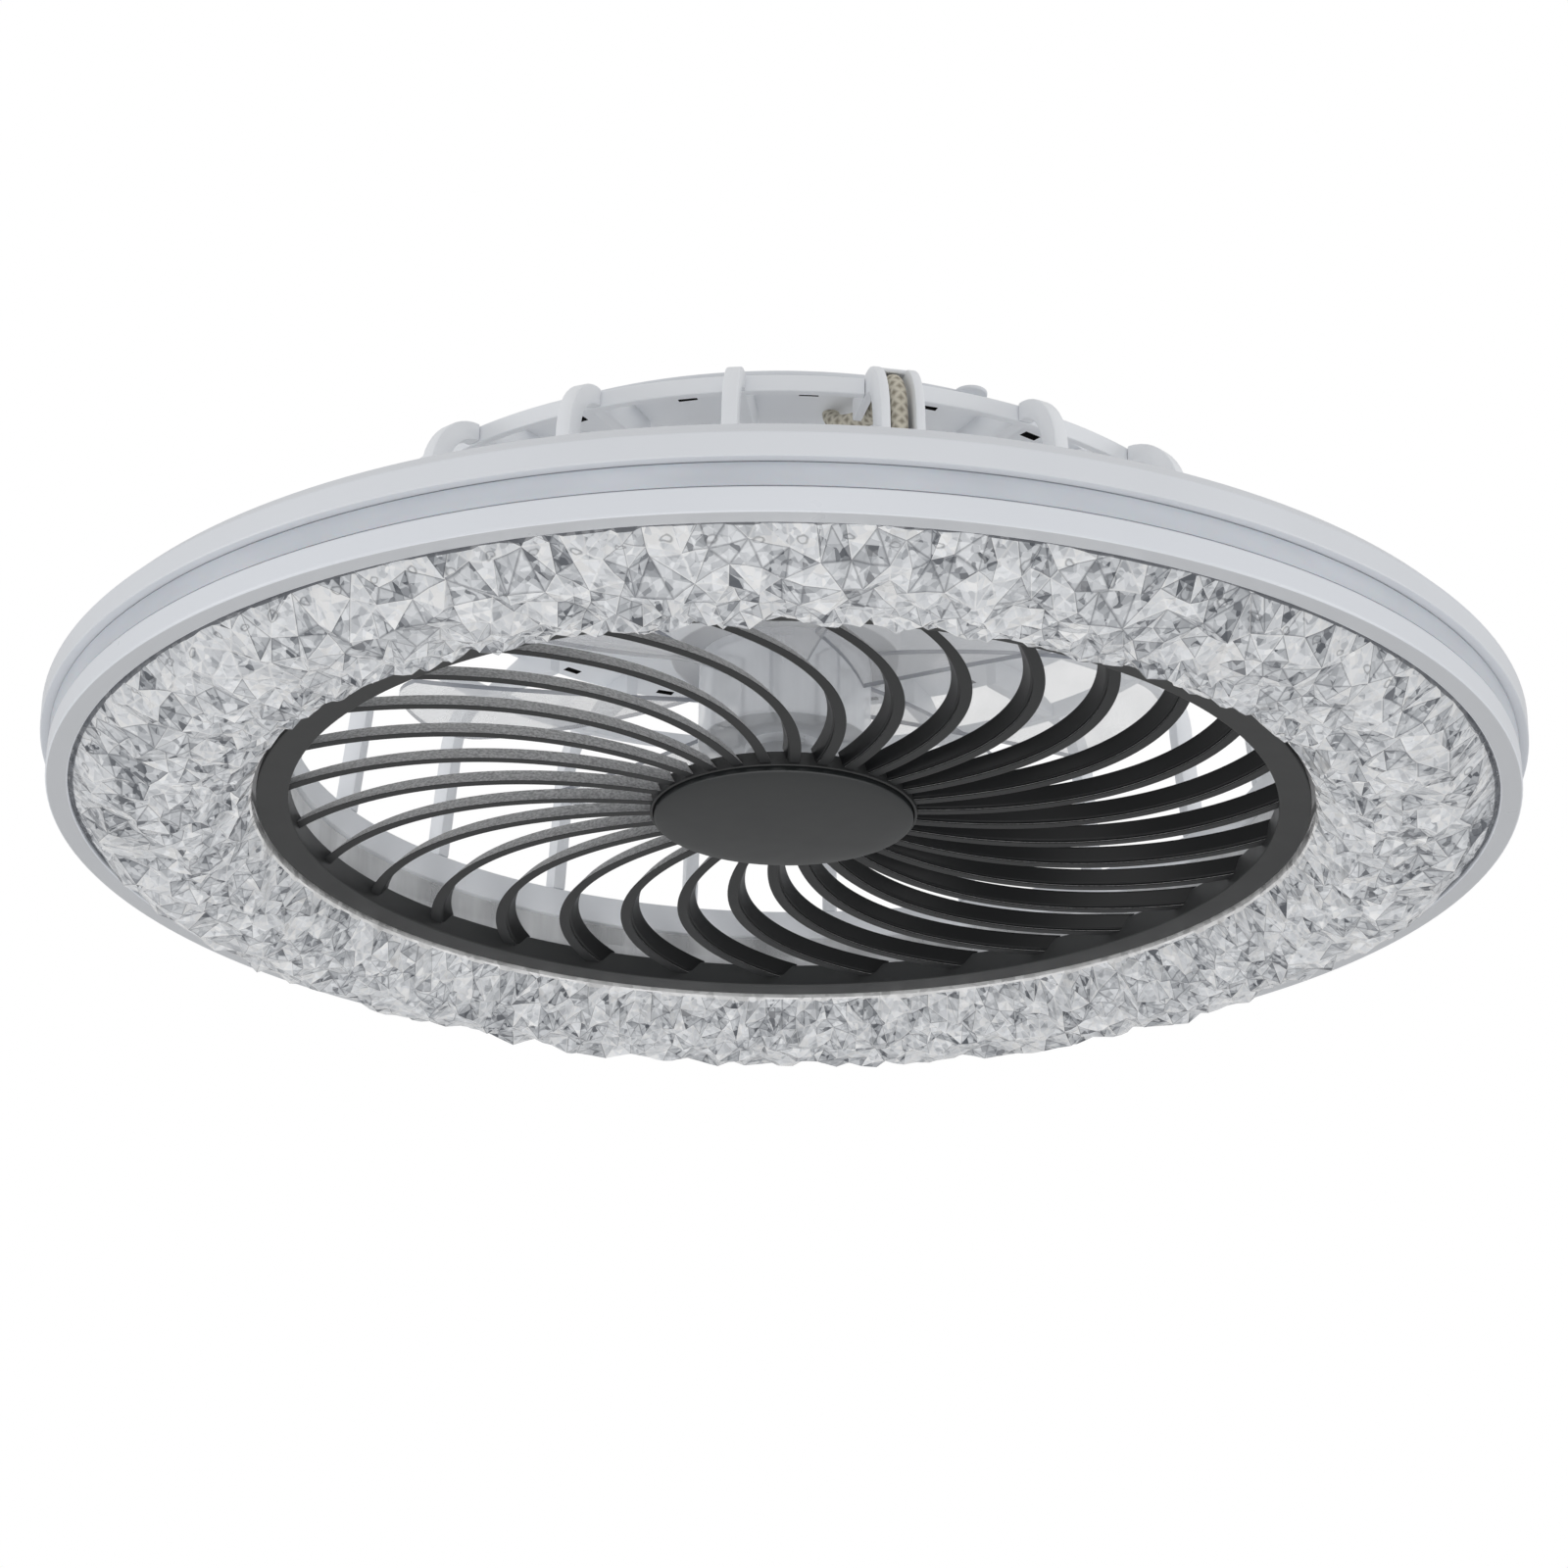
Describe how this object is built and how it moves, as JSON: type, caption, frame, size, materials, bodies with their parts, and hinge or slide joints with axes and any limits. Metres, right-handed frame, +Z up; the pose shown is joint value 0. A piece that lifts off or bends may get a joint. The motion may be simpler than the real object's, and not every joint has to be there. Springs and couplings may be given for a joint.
{
  "type": "enclosed ceiling fan",
  "caption": "Low caged ceiling fan inside a ring lamp with a faceted crystal diffuser, clear blades and a black grille of swept vanes under the fan.",
  "frame": {"origin": "centre of the ceiling plate's top face, which lies on the ceiling", "axes": "+Z up, towards the ceiling; -Y towards the near side of the picture; the lamp lead's conduit is at 12 degrees from -Y towards +X"},
  "size_m": [0.5554, 0.5564, 0.154],
  "materials": {
    "white_plastic": "satin white",
    "trim_plastic": "satin, cool white",
    "diffuser_plastic": "satin, slightly translucent",
    "crystal_plastic": "clear, sharp facets",
    "clear_plastic": "clear, polished",
    "black_plastic": "satin black",
    "cap_plastic": "satin black",
    "motor_grey": "light grey",
    "steel": "zinc plated",
    "tray_metal": "white steel sheet",
    "board": "white circuit board",
    "magnet": "nickel plated",
    "magnet_strip": "flexible magnetic strip, dark grey",
    "copper": "enamelled wire",
    "braided_sleeve": "woven glass fibre",
    "box_plastic": "matt white"
  },
  "bodies": {
    "housing": {"ceiling_plate": "steel", "canopy": "white_plastic", "canopy_screw_1": "steel", "canopy_screw_2": "steel", "pan": "white_plastic", "cage_lower_ring": "white_plastic", "wiring_conduit": "white_plastic", "lamp_lead": "braided_sleeve", "upper_shell": "white_plastic", "side_diffuser": "diffuser_plastic", "lower_trim": "trim_plastic", "lamp_tray": "tray_metal", "led_board": "board", "crystal_ring": "crystal_plastic", "inner_wall": "clear_plastic", "motor_base": "steel", "motor_nut": "steel", "stator_core": "steel", "stator_windings": "copper", "motor_shaft": "steel", "controller_box": "box_plastic", "terminal_block": "box_plastic", "cage_strut_01": "white_plastic", "cage_strut_02": "white_plastic", "cage_strut_03": "white_plastic", "cage_strut_04": "white_plastic", "cage_strut_05": "white_plastic", "cage_strut_06": "white_plastic", "cage_strut_07": "white_plastic", "cage_strut_08": "white_plastic", "cage_strut_09": "white_plastic", "cage_strut_10": "white_plastic", "cage_strut_11": "white_plastic", "cage_strut_12": "white_plastic", "cage_strut_13": "white_plastic", "cage_strut_14": "white_plastic", "cage_strut_15": "white_plastic", "cage_strut_16": "white_plastic", "cage_strut_17": "white_plastic", "cage_strut_18": "white_plastic", "cage_strut_19": "white_plastic", "lamp_screw_1": "steel", "lamp_screw_2": "steel", "lamp_screw_3": "steel"},
    "fan": {"rotor_can": "motor_grey", "rotor_magnets": "magnet", "upper_bearing": "steel", "lower_bearing": "steel", "fan_hub": "clear_plastic", "blade_1": "clear_plastic", "blade_2": "clear_plastic", "blade_3": "clear_plastic", "blade_4": "clear_plastic", "blade_5": "clear_plastic", "blade_6": "clear_plastic", "blade_7": "clear_plastic", "fan_nut": "clear_plastic"},
    "grille": {"grille": "black_plastic", "grille_hub_cap": "cap_plastic", "grille_magnet_strip": "magnet_strip"}
  },
  "joints": [
    {"name": "fan_spin", "type": "hinge", "parent": "housing", "child": "fan", "pos_m": [0, 0, -0.077], "axis": [0, 0, 1], "continuous": true},
    {"name": "grille_pull", "type": "slide", "parent": "housing", "child": "grille", "axis": [0, 0, -1], "range_m": [0, 0.06]}
  ]
}
